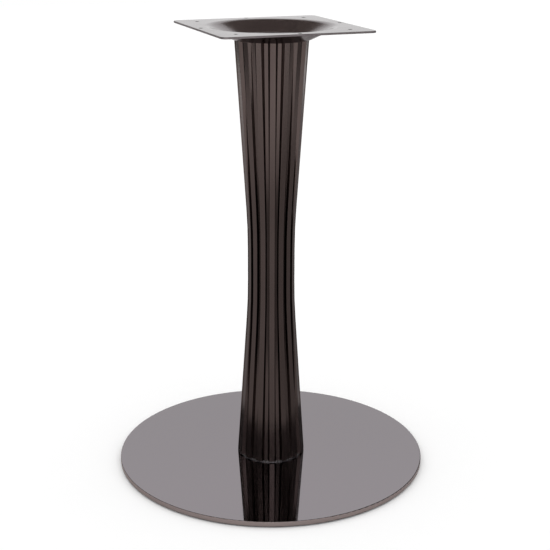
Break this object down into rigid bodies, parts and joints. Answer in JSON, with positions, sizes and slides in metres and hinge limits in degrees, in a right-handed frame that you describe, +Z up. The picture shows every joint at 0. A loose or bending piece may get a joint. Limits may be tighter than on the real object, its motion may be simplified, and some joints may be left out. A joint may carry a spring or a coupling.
{
  "type": "table base",
  "caption": "Free-standing pedestal base for a small table: round steel foot plate, waisted fluted sheet column and a dished square top plate with fixing holes.",
  "frame": {"origin": "on the floor, under the middle of the round foot plate", "axes": "+Z up along the column, X and Y along the sides of the square top plate"},
  "size_m": [0.4999, 0.5, 0.71],
  "materials": {
    "polished_dark_steel": "mirror-polished stainless steel with a dark grey vapour-deposited coat",
    "satin_dark_steel": "satin stainless steel with a dark bronze-grey vapour-deposited coat",
    "pressed_dark_steel": "smooth pressed steel with the same dark coat",
    "zinc_plated_steel": "bright zinc-plated steel",
    "pad_rubber": "plain black rubber"
  },
  "bodies": {
    "root": {"base_disc": "polished_dark_steel", "column": "satin_dark_steel", "column_seat": "satin_dark_steel", "top_plate": "pressed_dark_steel", "seat_screws": "zinc_plated_steel", "tie_rod": "zinc_plated_steel", "washer": "zinc_plated_steel", "spring_washer": "zinc_plated_steel", "nut": "zinc_plated_steel", "foot_pad_1": "pad_rubber", "foot_pad_2": "pad_rubber", "foot_pad_3": "pad_rubber", "foot_pad_4": "pad_rubber", "foot_pad_5": "pad_rubber", "foot_pad_6": "pad_rubber"}
  },
  "joints": []
}
